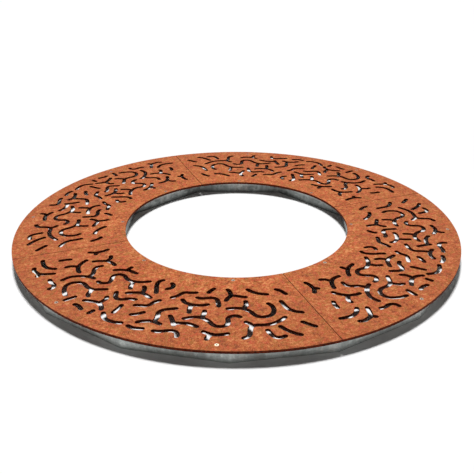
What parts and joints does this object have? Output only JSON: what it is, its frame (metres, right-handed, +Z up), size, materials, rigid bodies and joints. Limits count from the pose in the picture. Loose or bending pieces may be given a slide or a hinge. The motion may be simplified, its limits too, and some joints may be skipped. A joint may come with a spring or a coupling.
{
  "type": "tree grate",
  "caption": "Round tree grate: slotted weathering-steel quarter plates screwed to a galvanised angle-steel frame around an open centre for the trunk.",
  "frame": {"origin": "centre of the tree opening on the ground that the frame stands on", "axes": "+Z up out of the ground; the four seams between the plates lie along +X, +Y, -X and -Y"},
  "size_m": [1.5, 1.5, 0.043],
  "materials": {
    "weathering_steel": "matte orange-brown rust patina, bare weathering steel",
    "galvanised_frame": "hot-dip galvanised, dull and mottled",
    "bright_fasteners": "bright zinc, satin"
  },
  "bodies": {
    "root": {"plate_1": "weathering_steel", "plate_2": "weathering_steel", "plate_3": "weathering_steel", "plate_4": "weathering_steel", "outer_bar_1": "galvanised_frame", "outer_bar_2": "galvanised_frame", "outer_bar_3": "galvanised_frame", "outer_bar_4": "galvanised_frame", "outer_bar_5": "galvanised_frame", "outer_bar_6": "galvanised_frame", "outer_bar_7": "galvanised_frame", "outer_bar_8": "galvanised_frame", "outer_bar_9": "galvanised_frame", "outer_bar_10": "galvanised_frame", "outer_bar_11": "galvanised_frame", "outer_bar_12": "galvanised_frame", "outer_bar_13": "galvanised_frame", "outer_bar_14": "galvanised_frame", "outer_bar_15": "galvanised_frame", "outer_bar_16": "galvanised_frame", "inner_bar_1": "galvanised_frame", "inner_bar_2": "galvanised_frame", "inner_bar_3": "galvanised_frame", "inner_bar_4": "galvanised_frame", "inner_bar_5": "galvanised_frame", "inner_bar_6": "galvanised_frame", "inner_bar_7": "galvanised_frame", "inner_bar_8": "galvanised_frame", "start_bar_1": "galvanised_frame", "start_bar_2": "galvanised_frame", "start_bar_3": "galvanised_frame", "start_bar_4": "galvanised_frame", "end_bar_1": "galvanised_frame", "end_bar_2": "galvanised_frame", "end_bar_3": "galvanised_frame", "end_bar_4": "galvanised_frame", "plate_screws_1": "bright_fasteners", "plate_screws_2": "bright_fasteners", "plate_screws_3": "bright_fasteners", "plate_screws_4": "bright_fasteners", "weld_nuts_1": "galvanised_frame", "weld_nuts_2": "galvanised_frame", "weld_nuts_3": "galvanised_frame", "weld_nuts_4": "galvanised_frame", "seam_bolts_1": "bright_fasteners", "seam_bolts_2": "bright_fasteners", "seam_bolts_3": "bright_fasteners", "seam_bolts_4": "bright_fasteners", "seam_washers_1": "bright_fasteners", "seam_washers_2": "bright_fasteners", "seam_washers_3": "bright_fasteners", "seam_washers_4": "bright_fasteners", "seam_nuts_1": "bright_fasteners", "seam_nuts_2": "bright_fasteners", "seam_nuts_3": "bright_fasteners", "seam_nuts_4": "bright_fasteners"}
  },
  "joints": []
}
